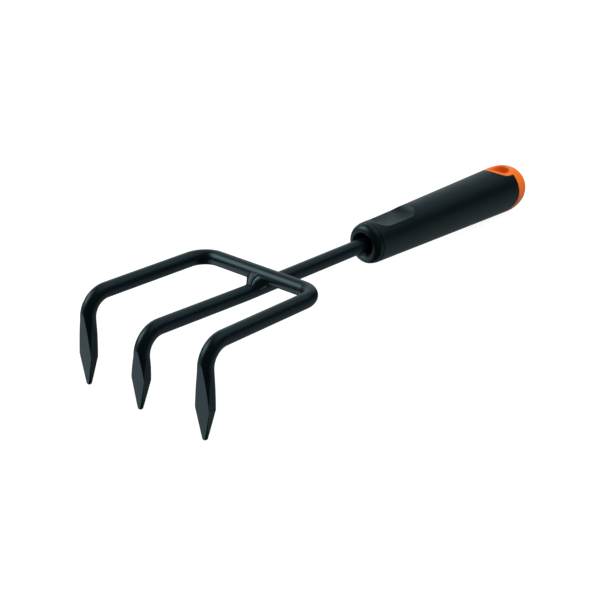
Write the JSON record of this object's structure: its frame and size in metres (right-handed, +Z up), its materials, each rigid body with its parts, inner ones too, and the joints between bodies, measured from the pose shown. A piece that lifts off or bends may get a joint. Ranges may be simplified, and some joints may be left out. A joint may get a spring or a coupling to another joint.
{
  "type": "hand cultivator",
  "caption": "Short-handled garden cultivator: forged spear-pointed tines bent down from round bar, welded crossbar, moulded grip with thumb dish and a hanging eye.",
  "frame": {"origin": "on the floor under the middle of the tool's outline, with the tool lying on its two outer tine points and the handle's rounded end", "axes": "+X from the tines towards the handle's end, +Y to the left seen from behind the handle, +Z up; the shaft falls 5.3 degrees towards +X"},
  "size_m": [0.2988, 0.0964, 0.0493],
  "materials": {
    "coated_bar": "satin black powder coat over forged steel bar",
    "coated_weld": "same coat over rippled weld metal",
    "collar_plastic": "fine-grained matte moulding",
    "core_plastic": "bright orange moulding, semi-matte",
    "grip_plastic": "fine-grained matte moulding, slightly soft"
  },
  "bodies": {
    "root": {"center_tine_rod": "coated_bar", "side_tine_fork": "coated_bar", "front_weld_bead": "coated_weld", "rear_weld_bead": "coated_weld", "front_collar": "collar_plastic", "handle_core": "core_plastic", "grip_shell": "grip_plastic"}
  },
  "joints": []
}
